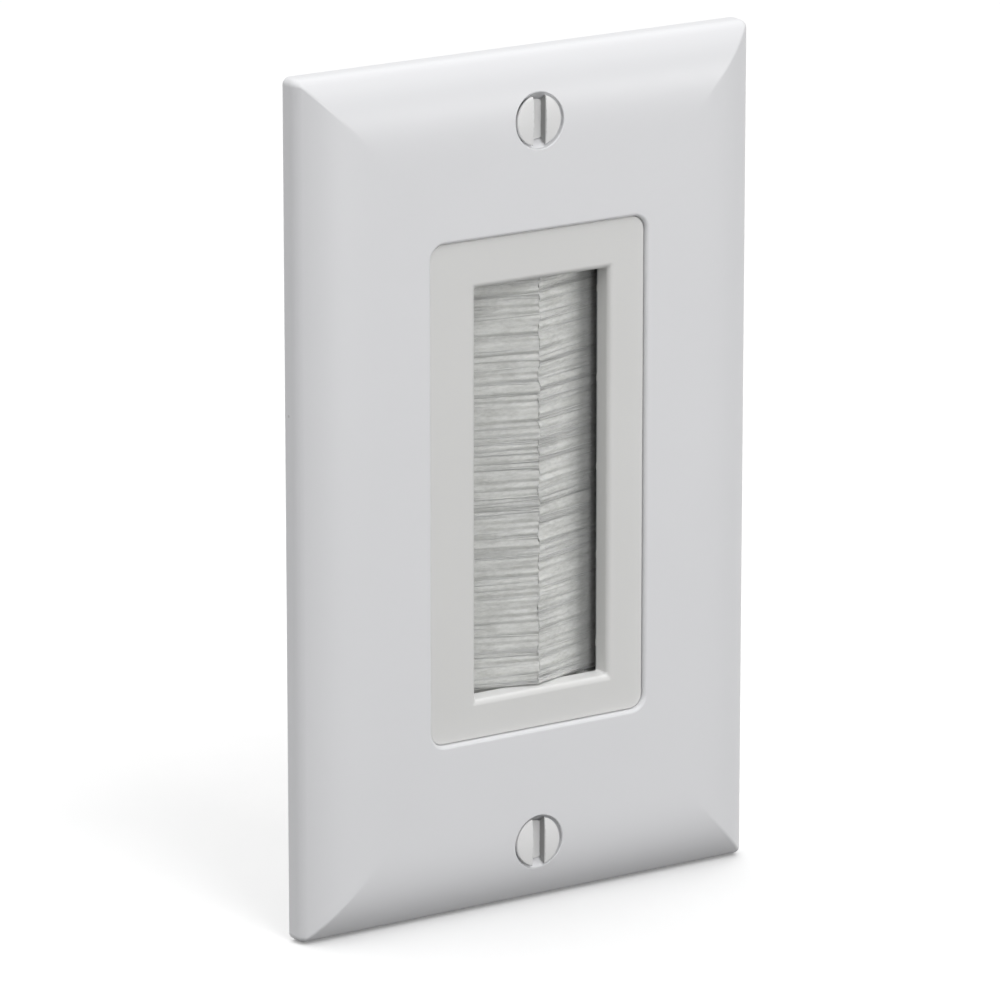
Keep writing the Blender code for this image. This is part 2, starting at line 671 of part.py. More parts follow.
plate_plastic = make_material("plate_plastic", (0.72, 0.72, 0.735), 0.34)
insert_plastic = make_material("insert_plastic", (0.67, 0.67, 0.655), 0.38)
screw_paint = make_material("screw_paint", (0.74, 0.74, 0.73), 0.3, 0.2)
zinc_steel = make_material("zinc_steel", (0.62, 0.63, 0.64), 0.32, 1.0)
strip_metal = make_material("strip_metal", (0.58, 0.59, 0.6), 0.35, 1.0)
wire_metal = make_material("wire_metal", (0.5, 0.5, 0.5), 0.4, 1.0)
bristle_nylon = make_material("bristle_nylon", (0.6, 0.61, 0.57), 0.3)
washer_fibre = make_material("washer_fibre", (0.55, 0.5, 0.4), 0.8)

screw_head_y = PLATE_SCREW_SINK - plate_front(PLATE_SCREW_INSET)

wall_plate = plate_shell()
add_plate_stiffeners(wall_plate)
cut(wall_plate, rounded_opening("opening_cutter", opening_half_width + OPENING_EDGE_RADIUS,
                                opening_half_height + OPENING_EDGE_RADIUS, OPENING_CORNER_RADIUS,
                                OPENING_EDGE_RADIUS, 0.0, -PLATE_DEPTH, PLATE_WALL, CUT_MARGIN,
                                opening_centre))
cut_screw_seats(wall_plate, screw_head_y)
cut_head_pockets(wall_plate)

insert_frame = insert_body()
cut_strap_holes(insert_frame)
add_ribs(insert_frame, "seat_rib", bezel_back_y - WELD_OVERLAP, core_y,
         cavity_half_width + WELD_OVERLAP)
add_hooks(insert_frame)
brush_retainer = retainer_ring()

randomness = random.Random(7)
for brush_side in ("left", "right"):
    brush_pocket = add_brush(brush_side, randomness)
    cut(insert_frame, brush_pocket)
    cut(brush_retainer, brush_pocket)

add_screws(screw_head_y)
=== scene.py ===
"""Brush wall plate: a one-gang cover plate around a framed insert with two facing strip brushes.

Metres, +Z up, +X to the right as seen from the room, +Y into the wall. The origin is the middle of
the plate on the wall plane. The sections follow the order in which the object is put together, from
the insert and its brushes to the cover plate and its screws, and the studio comes last.
"""

import math

import bmesh
import bpy
import numpy as np
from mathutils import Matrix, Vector


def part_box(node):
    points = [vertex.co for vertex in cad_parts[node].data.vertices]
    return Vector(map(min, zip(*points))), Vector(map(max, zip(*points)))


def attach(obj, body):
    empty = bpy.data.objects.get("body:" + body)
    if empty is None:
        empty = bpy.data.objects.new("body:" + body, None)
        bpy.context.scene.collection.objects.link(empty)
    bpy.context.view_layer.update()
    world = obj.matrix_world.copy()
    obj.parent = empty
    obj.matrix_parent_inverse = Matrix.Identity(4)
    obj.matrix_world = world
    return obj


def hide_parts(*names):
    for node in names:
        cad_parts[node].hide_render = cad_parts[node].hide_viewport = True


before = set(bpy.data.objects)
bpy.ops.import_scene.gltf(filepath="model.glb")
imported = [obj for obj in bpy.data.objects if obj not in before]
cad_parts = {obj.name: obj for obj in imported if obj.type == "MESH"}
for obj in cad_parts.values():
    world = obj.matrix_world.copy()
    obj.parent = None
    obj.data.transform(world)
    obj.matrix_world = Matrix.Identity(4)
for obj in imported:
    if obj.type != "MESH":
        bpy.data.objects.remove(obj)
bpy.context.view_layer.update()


# Insert: one white moulding of a matte, faintly grained plastic. Its bezel frames the window, its
# skirt reaches into the wall around the brushes, and its strap lies on the wall behind the plate.
# Small ribs behind the bezel hold the brush strips, and four hooks hold the retainer.

MM = 0.001
CORNER_POINTS = 9
OPENING_RISE = 0.6 * MM
# An outline is a half width, half height, corner radius, middle x and middle z.
INSERT_OUTLINE = (16.59 * MM, 33.34 * MM, 1.9 * MM, 0.0, OPENING_RISE)
INSERT_FACE_Y = -5.7 * MM
INSERT_EDGE = 0.25 * MM
WINDOW_SHIFT = 0.8 * MM
WINDOW_OUTLINE = (11.10 * MM, 28.30 * MM, 0.3 * MM, WINDOW_SHIFT, -0.05 * MM)
WINDOW_EDGE = 0.8 * MM
WINDOW_DRAFT = math.radians(7)
WINDOW_BACK_INSET = 0.911 * MM
BEZEL_BACK_Y = -3.2 * MM
CAVITY_OUTLINE = (15.15 * MM, 31.90 * MM, 1.4 * MM, 0.0, OPENING_RISE)
SKIRT_REAR_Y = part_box("insert_frame")[1].y
MOULDED_EDGE = 0.15 * MM
TIGHTEST_CORNER = 0.3 * MM


def rounded_rings(stations):
    """Grid of points with one ring round a rectangle with round corners for each station.

    A station is an outline (half width, half height, corner radius, middle x, middle z), how far
    the ring lies inside it, and its depth. A point is the middle of its corner's arc plus the
    radius times the cosine and sine of an angle that runs once round, anticlockwise from the room.
    """
    outline = np.array([station[0] for station in stations])
    inset = np.array([[station[1]] for station in stations])
    y = np.array([[station[2]] for station in stations])
    half_width, half_height, corner, middle_x, middle_z = (column[:, None] for column in outline.T)
    radius = np.maximum(corner - inset, TIGHTEST_CORNER)
    quarter = np.repeat(np.arange(4), CORNER_POINTS)
    angle = np.pi / 2 * (quarter + np.tile(np.linspace(0, 1, CORNER_POINTS), 4))
    side_x = np.where((quarter == 0) | (quarter == 3), 1, -1)
    side_z = np.where(quarter < 2, 1, -1)
    x = middle_x + side_x * (half_width - inset - radius) + radius * np.cos(angle)
    z = middle_z + side_z * (half_height - inset - radius) + radius * np.sin(angle)
    return np.stack([x, y + 0 * x, z], axis=-1)


def bend(outline, inset, y, radius, start, end, steps=7):
    """Stations round an edge: inset and depth are a middle plus the radius times the cosine and
    sine of an angle in degrees, which is 0 toward the inside and 90 toward the wall."""
    angles = np.radians(np.linspace(start, end, steps))
    return [(outline, inset + radius * np.cos(angle), y + radius * np.sin(angle))
            for angle in angles]


def skin(name, grids, ends):
    """Mesh over grids of points, given as count x rows x columns x 3, with each row closed.

    A face joins four neighbours. Ends are "joined" where the last row meets the first one, or
    "capped" where a fan of triangles meets the middle of the first row and of the last one.
    """
    count, rows, columns = grids.shape[:3]
    index = np.arange(count * rows * columns).reshape(count, rows, columns)
    points = grids.reshape(-1, 3)
    loop = np.concatenate([index, index[:, :1]], axis=1) if ends == "joined" else index
    near, far = loop[:, :-1], loop[:, 1:]
    faces = np.stack([near, np.roll(near, -1, axis=2), np.roll(far, -1, axis=2), far],
                     axis=-1).reshape(-1, 4).tolist()
    if ends == "capped":
        middles = grids[:, [0, -1]].mean(axis=2).reshape(-1, 3)
        pole = len(points) + np.arange(2 * count).reshape(count, 2, 1)
        first, last = index[:, 0], index[:, -1]
        for a, b, c in ((np.roll(first, -1, axis=1), first, pole[:, 0]),
                        (last, np.roll(last, -1, axis=1), pole[:, 1])):
            faces += np.stack([a, b, c + 0 * a], axis=-1).reshape(-1, 3).tolist()
        points = np.concatenate([points, middles])
    mesh = bpy.data.meshes.new(name)
    mesh.from_pydata(points.tolist(), [], faces)
    return mesh


def shell(name, stations):
    """Closed wall whose cross-section runs through the stations and back to the first one."""
    return skin(name, rounded_rings(stations)[None], "joined")


def lump(name, stations):
    """Solid from its rear station to its front one, flat at both ends."""
    return skin(name, rounded_rings(stations)[None], "capped")


def turned(name, profile, place, segments=64, ends="capped"):
    """Surface turned about the depth axis: x and z are the place plus the radius times the cosine
    and sine of an angle, for each radius and depth of the profile, from its rear to its front."""
    profile = np.array(profile)
    angle = np.linspace(0, 2 * np.pi, segments, endpoint=False)
    radius, y = profile[:, :1], profile[:, 1:]
    grid = np.stack([place[0] + radius * np.cos(angle), y + 0 * angle * radius,
                     place[1] + radius * np.sin(angle)], axis=-1)
    return skin(name, grid[None], ends)


def loose(name, mesh):
    """Object in the scene for a mesh that is still being worked on."""
    made = bpy.data.objects.new(name, mesh)
    bpy.context.scene.collection.objects.link(made)
    return made


def carved(mesh, *tools):
    """The mesh with each tool's mesh cut out of it."""
    block = loose(mesh.name, mesh)
    cutters = [loose(tool.name, tool) for tool in tools]
    for cutter in cutters:
        modifier = block.modifiers.new(cutter.name, "BOOLEAN")
        modifier.operation = "DIFFERENCE"
        modifier.solver = "EXACT"
        modifier.object = cutter
    bpy.context.view_layer.update()
    result = bpy.data.meshes.new_from_object(
        block.evaluated_get(bpy.context.evaluated_depsgraph_get()))
    for used in [block, *cutters]:
        bpy.data.objects.remove(used, do_unlink=True)
    return result


def together(name, *meshes):
    """One mesh out of several."""
    shape = bmesh.new()
    for mesh in meshes:
        shape.from_mesh(mesh)
    whole = bpy.data.meshes.new(name)
    shape.to_mesh(whole)
    shape.free()
    return whole


def fitted(name, mesh, material, node, smooth_below=32, edge=0.0):
    """Finished piece that stands for a node, whose part it hides, with the given material."""
    mesh.materials.clear()
    mesh.materials.append(material)
    mesh.shade_smooth()
    mesh.set_sharp_from_angle(angle=math.radians(smooth_below))
    piece = loose(name, mesh)
    if edge:
        bevel = piece.modifiers.new("eased edges", "BEVEL")
        bevel.width = edge
        bevel.segments = 2
        bevel.limit_method = "ANGLE"
        bevel.angle_limit = math.radians(40)
    weighted = piece.modifiers.new("flat faces stay flat", "WEIGHTED_NORMAL")
    weighted.keep_sharp = True
    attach(piece, "root")
    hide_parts(node)


class Feed:
    """A socket of a material's nodes. Arithmetic on it adds Math nodes and gives a new feed."""

    def __init__(self, tree, socket):
        self.tree, self.socket = tree, socket

    def node(self, kind, settings=(), sockets=(), output=0):
        """Adds a node, sets it up, then gives its sockets values or links, by name or by number."""
        made = self.tree.nodes.new(kind)
        for key, value in dict(settings).items():
            setattr(made, key, value)
        for key, value in dict(sockets).items():
            if isinstance(value, Feed):
                self.tree.links.new(value.socket, made.inputs[key])
            else:
                made.inputs[key].default_value = value
        return Feed(self.tree, made.outputs[output])

    def maths(self, operation, *terms):
        """Math node of an operation on the terms in their order."""
        return self.node("ShaderNodeMath", {"operation": operation}, enumerate(terms))

    def __add__(self, other):
        return self.maths("ADD", self, other)

    def __sub__(self, other):
        return self.maths("SUBTRACT", self, other)

    def __rsub__(self, other):
        return self.maths("SUBTRACT", other, self)

    def __mul__(self, other):
        return self.maths("MULTIPLY", self, other)

    def __gt__(self, other):
        return self.maths("GREATER_THAN", self, other)

    def __lt__(self, other):
        return self.maths("LESS_THAN", self, other)

    __radd__, __rmul__ = __add__, __mul__

    def between(self, low, high):
        """0 at the low value, 1 at the high one, with an eased run from one to the other."""
        return self.node("ShaderNodeMapRange", {"interpolation_type": "SMOOTHSTEP"},
                         {"Value": self, "From Min": low, "From Max": high})

    def grain(self, size, detail=2.0, stretch=(1, 1, 1), rough=0.5):
        """Noise around 0.5 whose spots are about as large as the size, stretched along an axis."""
        spread = self.node("ShaderNodeMapping", {}, {"Vector": self, "Scale": stretch})
        return self.node("ShaderNodeTexNoise", {},
                         {"Vector": spread, "Scale": 0.5 / size, "Detail": detail,
                          "Roughness": rough})

    def tint(self, low, high):
        """Colour that runs from one shade to the other as this value runs from 0 to 1."""
        return self.node("ShaderNodeMix", {"data_type": "RGBA"},
                         {0: self, 6: (*low, 1.0), 7: (*high, 1.0)}, output=2)

    def relief(self, height, strength=1.0):
        """Normal of a surface raised by this value times a height."""
        return self.node("ShaderNodeBump", {}, {"Height": self, "Distance": height,
                                                "Strength": strength})


def finish(name, recipe, **constants):
    """Material whose shader takes constant values, and what a recipe makes of its place."""
    material = bpy.data.materials.new(name)
    material.use_nodes = True
    tree = material.node_tree
    shader = tree.nodes["Principled BSDF"]
    for key, value in constants.items():
        shader.inputs[key.replace("_", " ")].default_value = value
    place = Feed(tree, tree.nodes.new("ShaderNodeTexCoord").outputs["Object"])
    for key, feed in recipe(place).items():
        tree.links.new(feed.socket, shader.inputs[key])
    return material


def insert_surface(place):
    """Even white with faint flow clouds, and the fine dry grain of a spark-eroded mould. The
    window's lower wall is smoother, and its colour is painted whiter as painted light from above."""
    clouds = place.grain(6 * MM, 3.0)
    grain = place.grain(0.22 * MM, 3.0, rough=0.6)
    sideways, depth, height = (place.node("ShaderNodeSeparateXYZ", {}, {0: place}, output=part)
                               for part in range(3))
    # Painted light: the window's lower wall gets a whiter colour than the rest, and a smoother
    # gloss.
    lip_wear_and_painted_ledge_light = depth.between(-5.66 * MM, -5.2 * MM) * (depth < BEZEL_BACK_Y) \
        * (height < -27.2 * MM) * (height > -29.3 * MM) \
        * (sideways.maths("ABSOLUTE", sideways) < 12.2 * MM)
    white = (clouds * 0.8 + grain * 0.2).tint((0.742, 0.741, 0.729), (0.782, 0.781, 0.769))
    return {"Base Color": place.node("ShaderNodeMix", {"data_type": "RGBA"},
                                     {0: lip_wear_and_painted_ledge_light, 6: white, 7: (0.95, 0.95, 0.945, 1.0)}, output=2),
            "Roughness": 0.36 + 0.16 * grain - 0.1 * lip_wear_and_painted_ledge_light,
            "Normal": grain.relief(0.010 * MM, 0.5)}


insert_plastic = finish("insert_plastic", insert_surface, IOR=1.5)

bezel_and_skirt = shell("bezel_and_skirt", [
    *bend(INSERT_OUTLINE, MOULDED_EDGE, SKIRT_REAR_Y - MOULDED_EDGE, MOULDED_EDGE, 90, 180, 4),
    *bend(INSERT_OUTLINE, INSERT_EDGE, INSERT_FACE_Y + INSERT_EDGE, INSERT_EDGE, 180, 270),
    *bend(WINDOW_OUTLINE, 0.0, INSERT_FACE_Y + WINDOW_EDGE, WINDOW_EDGE, 270,
          360 - math.degrees(WINDOW_DRAFT), 11),
    (WINDOW_OUTLINE, WINDOW_BACK_INSET, BEZEL_BACK_Y),
    (CAVITY_OUTLINE, 0.0, BEZEL_BACK_Y),
    *bend(CAVITY_OUTLINE, -MOULDED_EDGE, SKIRT_REAR_Y - MOULDED_EDGE, MOULDED_EDGE, 0, 90, 4),
])

# The strap is a flat cross of plastic: a body a little wider than the opening, and two ears. Its
# pilot holes take the plate screws, and its slots leave the box screws some travel sideways.
STRAP_FRONT_Y = -1.6 * MM
STRAP_BODY = (18.5, 36)
STRAP_EAR = (13, 52.5)
STRAP_OUTER_RADIUS = 2.2
STRAP_INNER_RADIUS = 0.5
STRAP_HOLE_LOW, STRAP_HOLE_HIGH = (-14.65 * MM, -30.8 * MM), (14.65 * MM, 32.0 * MM)
PLATE_SCREW_Z = 48.42 * MM
BOX_SCREW_Z = 41.67 * MM
SCREW_HOLE_RADIUS = 2.05 * MM
BOX_SLOT_HALF_WIDTH = 3.45 * MM


def rounded_outline(corners, steps=6):
    """Outline through corners (x, z, radius in mm), each cut by a curve between two points that
    lie a radius away from it: the middle weight of a corner rises and falls as 2t(1 - t)."""
    corner = np.array(corners) * MM
    place, reach = corner[:, None, :2], corner[:, None, 2:]
    before, after = np.roll(place, 1, axis=0) - place, np.roll(place, -1, axis=0) - place
    start = place + before / np.linalg.norm(before, axis=2, keepdims=True) * reach
    end = place + after / np.linalg.norm(after, axis=2, keepdims=True) * reach
    t = np.linspace(0, 1, steps)[:, None]
    return ((1 - t) ** 2 * start + 2 * t * (1 - t) * place + t ** 2 * end).reshape(-1, 2)


def strap_plate():
    """Flat ring from the cross's outline to a rounded hole. Each point of the hole is a point of
    the shrunk outline, held inside a rectangle, plus a radius toward the outline itself."""
    quarter = [(STRAP_BODY[0], STRAP_BODY[1], STRAP_OUTER_RADIUS),
               (STRAP_EAR[0], STRAP_BODY[1], STRAP_INNER_RADIUS),
               (STRAP_EAR[0], STRAP_EAR[1], STRAP_OUTER_RADIUS)]
    half = quarter + [(-x, z, radius) for x, z, radius in quarter[::-1]]
    outer = rounded_outline([(x, -z, radius) for x, z, radius in quarter[:1]] + half
                            + [(x, -z, radius) for x, z, radius in half[:0:-1]])
    core = np.clip(0.9 * outer, STRAP_HOLE_LOW, STRAP_HOLE_HIGH)
    away = outer - core
    inner = core + 1.5 * MM * away / np.linalg.norm(away, axis=1, keepdims=True)
    rows = [(outer, 0.0), (outer, STRAP_FRONT_Y), (inner, STRAP_FRONT_Y), (inner, 0.0)]
    grid = np.array([[(x, y, z) for x, z in ring] for ring, y in rows])
    mesh = skin("strap", grid[None], "joined")
    shape = bmesh.new()
    shape.from_mesh(mesh)
    bmesh.ops.remove_doubles(shape, verts=shape.verts, dist=0.001 * MM)
    shape.to_mesh(mesh)
    shape.free()
    return mesh


strap_holes = []
for end in (-1, 1):
    strap_holes.append(turned("pilot_hole", [(SCREW_HOLE_RADIUS, 1 * MM),
                                             (SCREW_HOLE_RADIUS, -3 * MM)],
                              (0, end * PLATE_SCREW_Z)))
    slot = (BOX_SLOT_HALF_WIDTH, SCREW_HOLE_RADIUS, 1.85 * MM, 0, end * BOX_SCREW_Z)
    strap_holes.append(lump("box_slot", [(slot, 0, 1 * MM), (slot, 0, -3 * MM)]))
strap = carved(strap_plate(), *strap_holes)

# Seat ribs stand behind the bezel on both sides of the window, cut to the slant of the strips.
BRUSH_ANGLE = math.radians(16.5)
BRUSH_CORE = (-13.04 * MM, 0.107 * MM)
WINDOW_MIDDLE = np.array([WINDOW_SHIFT, 0.0, 0.2 * MM])
RIB_HALF_THICKNESS = 0.6 * MM
RIB_PLACES = (-29.14, -24, -12, 0, 12, 24, 29.14)
SKIRT_INSIDE = 15.2 * MM
HOOK_SPACING = 34 * MM


def on_brush(points, side):
    """Turns points drawn about a core wire, with x toward the tips, into their place in the window.

    They turn about the upright axis by the brushes' angle and shift to the wire, and those of the
    right brush then turn half round about the depth axis.
    """
    x, y, z = np.moveaxis(np.asarray(points, dtype=float), -1, 0)
    cosine, sine = math.cos(BRUSH_ANGLE), math.sin(BRUSH_ANGLE)
    half_turn = 1 if side == "left" else -1
    return np.stack([half_turn * (BRUSH_CORE[0] + cosine * x + sine * y),
                     BRUSH_CORE[1] - sine * x + cosine * y, half_turn * z], axis=-1) + WINDOW_MIDDLE


def brush_box(name, low, high, side):
    """Box between two corners in a brush's own directions."""
    x, y, z = zip(low, high)
    ring = [(x[0], y[0]), (x[1], y[0]), (x[1], y[1]), (x[0], y[1])]
    grid = np.array([[(a, b, c) for a, b in ring] for c in z])
    return skin(name, on_brush(grid, side)[None], "capped")


seat_ribs = []
for side, sign in (("left", -1), ("right", 1)):
    pocket = brush_box("strip_pocket", (-1.85 * MM, -1.85 * MM, -28.34 * MM),
                       (6.5 * MM, 1.85 * MM, 28.34 * MM), side)
    near = WINDOW_MIDDLE[0] + sign * 10.49 * MM
    far = sign * SKIRT_INSIDE
    half, middle = abs(far - near) / 2, (far + near) / 2
    ribs = together("ribs", *[
        lump("rib", [((half, RIB_HALF_THICKNESS, 0.0, middle, WINDOW_MIDDLE[2] + z * MM), 0, y)
                     for y in (BRUSH_CORE[1], BEZEL_BACK_Y - 0.2 * MM)])
        for z in RIB_PLACES])
    seat_ribs.append(carved(ribs, pocket))

hooks = []
for sign in (-1, 1):
    for end in (-1, 1):
        hook = (0.6 * MM, 2.5 * MM, 0.1 * MM, sign * 14.85 * MM,
                OPENING_RISE + end * HOOK_SPACING / 2)
        hooks.append(lump("hook", [(hook, 0.35 * MM, 4.93 * MM), (hook, 0, 4.6 * MM),
                                   (hook, 0, 4.23 * MM)]))

fitted("insert_bezel", together("insert_bezel", bezel_and_skirt, *seat_ribs, *hooks),
       insert_plastic, "insert_frame")
fitted("insert_strap", strap, insert_plastic, "insert_frame", edge=0.15 * MM)


# Strip brushes: each is a folded strip of bright aluminium that grips a row of clear-white nylon
# filaments on a core wire. The strips lean, so the filaments reach forward to an uneven seam.


def strip_surface(place):
    """Mill finish: fine rolling lines along the strip, with duller clouds between them."""
    lines = place.grain(0.05 * MM, 3.0, stretch=(1, 1, 0.02))
    clouds = place.grain(2.5 * MM, 2.0)
    return {"Base Color": (0.6 * lines + 0.4 * clouds).tint((0.50, 0.51, 0.53), (0.72, 0.73, 0.74)),
            "Roughness": 0.26 + 0.14 * lines + 0.10 * clouds,
            "Normal": lines.relief(0.004 * MM, 0.6)}


def eased_copy(name, node, material, edge):
    """Copy of a solid with its loose triangles merged into flat faces and its edges rounded."""
    shape = bmesh.new()
    shape.from_mesh(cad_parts[node].data)
    bmesh.ops.remove_doubles(shape, verts=shape.verts, dist=0.001 * MM)
    bmesh.ops.dissolve_limit(shape, angle_limit=math.radians(0.5), verts=shape.verts,
                             edges=shape.edges)
    mesh = bpy.data.meshes.new(name)
    shape.to_mesh(mesh)
    shape.free()
    fitted(name, mesh, material, node, edge=edge)


strip_metal = finish("strip_metal", strip_surface, Metallic=1.0)
for side in ("left", "right"):
    eased_copy(f"{side}_channel_strip", f"{side}_brush_channel", strip_metal,
               0.08 * MM)


def zinc_surface(place):
    """Zinc plate on steel: pale blue grey with faint patches and a slightly uneven gloss."""
    patches = place.grain(0.9 * MM, 3.0)
    dust = place.grain(0.12 * MM, 2.0)
    return {"Base Color": patches.tint((0.44, 0.46, 0.49), (0.62, 0.63, 0.62)),
            "Roughness": 0.24 + 0.16 * patches + 0.08 * dust,
            "Normal": dust.relief(0.004 * MM, 0.5)}


zinc_steel = finish("zinc_steel", zinc_surface, Metallic=1.0)
for side in ("left", "right"):
    eased_copy(f"{side}_wire", f"{side}_core_wire", zinc_steel, 0.02 * MM)

FILAMENTS = 3900
FILAMENT_RADIUS = 0.07 * MM
FILAMENT_SIDES = 4
ROOT_HALF_LENGTH = 27.7 * MM
TIP_HALF_LENGTH = 27.32 * MM
REACH = 13.60 * MM
LOCK_PITCH = 1.5 * MM
SEAM_GAP = 0.06 * MM
SEAM_WAVE = 0.09 * MM
SEAM_WAVE_LENGTHS = (5.3 * MM, 3.1 * MM)


def seam(z):
    """Sideways wander of the seam: a share of a millimetre times the sum of two sine waves."""
    long, short = SEAM_WAVE_LENGTHS
    return SEAM_WAVE * (np.sin(2 * np.pi * z / long) + np.sin(2 * np.pi * z / short + 1.0))


def filament_row(name, side, seed):
    """Row of filaments, each a four-sided tube along a path of six points.

    A path runs from the core wire through the strip's mouth to its tip. The filaments of a lock
    start side by side and draw together toward the lock's own middle, which drifts and lifts, and
    each strays a little by itself with a bow that is a sine over its length.
    """
    rng = np.random.default_rng(seed)
    locks = round(2 * ROOT_HALF_LENGTH / LOCK_PITCH)
    edges = np.concatenate([[0], np.cumsum(rng.uniform(0.5, 1.5, locks))])
    edges = (edges / edges[-1] * 2 - 1) * ROOT_HALF_LENGTH
    root_z = rng.uniform(-ROOT_HALF_LENGTH, ROOT_HALF_LENGTH, FILAMENTS)
    lock = np.clip(np.searchsorted(edges, root_z) - 1, 0, locks - 1)
    lock_middle = (edges[lock] + edges[lock + 1]) / 2

    drift = rng.normal(0, 0.12 * MM, locks)[lock]
    lift = rng.normal(0, 0.10 * MM, locks)[lock]
    pull = np.clip(rng.normal(0.16, 0.08, locks), 0.0, 0.35)[lock]
    length = rng.normal(0, 0.14 * MM, locks)[lock]
    tone = rng.normal(0, 0.8, locks)[lock] + rng.normal(0, 0.5, FILAMENTS)

    front = rng.choice([-1, 1], FILAMENTS)
    fold_y = front * rng.uniform(0.55 * MM, 0.80 * MM, FILAMENTS)
    mouth_y = rng.uniform(-0.78 * MM, 0.78 * MM, FILAMENTS)
    tip_y = np.clip(mouth_y * 1.25 + lift + rng.normal(0, 0.06 * MM, FILAMENTS),
                    -1.12 * MM, 1.12 * MM)
    tip_z = np.clip(lock_middle + (root_z - lock_middle) * (1 - pull) + drift
                    + rng.normal(0, 0.12 * MM, FILAMENTS), -TIP_HALF_LENGTH, TIP_HALF_LENGTH)
    wander = seam(root_z) if side == "left" else -seam(-root_z)
    strays = rng.random(FILAMENTS) < 0.10
    short = rng.normal(0, 0.12 * MM, FILAMENTS) + strays * rng.uniform(
        0.2 * MM, 1.0 * MM, FILAMENTS)
    skew = -tip_y * math.tan(BRUSH_ANGLE)
    tip_x = REACH + (wander - SEAM_GAP / 2 + length * 0.6 - short) / math.cos(BRUSH_ANGLE) + skew

    share = np.array([0.0, 0.18, 0.36, 0.58, 0.80, 1.0])
    ease = np.clip((share - 0.15) / 0.85, 0, 1) ** 1.3
    x = 0.3 * MM + (tip_x[:, None] - 0.3 * MM) * share
    mouth_share = np.clip(share / 0.18, 0, 1)
    y = fold_y[:, None] * (1 - mouth_share) + mouth_y[:, None] * mouth_share * (1 - ease) \
        + tip_y[:, None] * ease
    z = root_z[:, None] * (1 - ease) + tip_z[:, None] * ease
    bow = np.sin(np.pi * np.clip((share - 0.15) / 0.85, 0, 1))
    y += rng.normal(0, 0.04 * MM, (FILAMENTS, 1)) * bow
    z += rng.normal(0, 0.08 * MM, (FILAMENTS, 1)) * bow

    angle = np.linspace(0, 2 * np.pi, FILAMENT_SIDES, endpoint=False)
    radius = FILAMENT_RADIUS * rng.uniform(0.85, 1.12, (FILAMENTS, 1, 1))
    grid = np.stack([x[:, :, None] + 0 * angle, y[:, :, None] + radius * np.cos(angle),
                     z[:, :, None] + radius * np.sin(angle)], axis=-1)
    mesh = skin(name, on_brush(grid, side), "capped")

    rings = len(share) * FILAMENT_SIDES
    shades = np.concatenate([np.repeat(tone, rings), np.repeat(tone, 2)])
    mesh.attributes.new("shade", "FLOAT", "POINT").data.foreach_set("value", shades)
    return mesh


def filament_mat(name, side, seed):
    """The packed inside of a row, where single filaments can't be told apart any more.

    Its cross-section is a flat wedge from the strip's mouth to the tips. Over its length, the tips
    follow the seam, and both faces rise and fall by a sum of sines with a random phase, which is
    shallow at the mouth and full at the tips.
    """
    rng = np.random.default_rng(seed)
    z = np.linspace(-TIP_HALF_LENGTH, TIP_HALF_LENGTH, 420)[:, None]
    lengths = np.array([0.9, 1.3, 1.9, 2.9]) * MM
    ripple = sum(np.sin(2 * np.pi * z / length + rng.uniform(0, 2 * np.pi))
                 for length in lengths) * 0.05 * MM
    share = np.linspace(0.0, 1.0, 9)
    half = (0.76 + 0.24 * share) * MM
    wander = seam(z) if side == "left" else -seam(-z)
    tip_x = REACH + (wander - 0.02 * MM) / math.cos(BRUSH_ANGLE)
    front_x = 2.0 * MM + (tip_x + half[-1] * math.tan(BRUSH_ANGLE) - 2.0 * MM) * share
    rear_x = 2.0 * MM + (tip_x - half[-1] * math.tan(BRUSH_ANGLE) - 2.0 * MM) * share
    front_y = -half - ripple * share
    rear_y = half + ripple * share
    x = np.concatenate([front_x, rear_x[:, ::-1]], axis=1)
    y = np.concatenate([front_y, rear_y[:, ::-1]], axis=1)
    grid = np.stack([x, y, z + 0 * x], axis=-1)
    return skin(name, on_brush(grid, side)[None], "capped")


def painted_row_shade(place, colour):
    """The colour with a share of grey painted in as shade: a small even share in the left row, and
    in the right row one that grows from 2.1 mm behind the bezel's face on, a painted shadow toward
    its strip."""
    sideways, depth = (place.node("ShaderNodeSeparateXYZ", {}, {0: place}, output=part)
                       for part in range(2))
    right = sideways.between(0.7 * MM, 0.9 * MM)
    share = 0.13 * (1 - right) + 0.58 * right * depth.between(-3.6 * MM, -1.8 * MM)
    return place.node("ShaderNodeMix", {"data_type": "RGBA"},
                      {0: share, 6: colour, 7: (0.12, 0.125, 0.13, 1.0)}, output=2)


def nylon_surface(place):
    """Clear-white nylon: filaments differ in shade, and each has fine die lines along it."""
    shade = place.node("ShaderNodeAttribute", {"attribute_name": "shade"}, output=2)
    lines = place.grain(0.06 * MM, 2.0, stretch=(0.06, 1, 1))
    mix = (shade * 0.22 + 0.5 + 0.2 * (lines - 0.5)).between(0.0, 1.0)
    # The row's colour is greyed here with painted shade.
    return {"Base Color": painted_row_shade(place, mix.tint((0.63, 0.635, 0.61), (0.86, 0.865, 0.84))),
            "Roughness": 0.34 + 0.16 * lines,
            "Normal": lines.relief(0.006 * MM, 0.4)}


def packed_surface(place):
    """The same nylon seen in bulk: soft streaks of light and shade along the filaments."""
    streaks = place.grain(0.13 * MM, 3.0, stretch=(0.05, 1, 1), rough=0.6)
    broad = place.grain(0.6 * MM, 2.0, stretch=(0.15, 1, 1))
    shades = (0.5 * streaks + 0.5 * broad).between(0.25, 0.75).tint((0.58, 0.585, 0.56),
                                                                    (0.86, 0.865, 0.84))
    # The row's colour is greyed here with painted shade.
    return {"Base Color": painted_row_shade(place, shades),
            "Roughness": 0.4 + 0.2 * streaks,
            "Normal": streaks.relief(0.05 * MM, 0.7)}


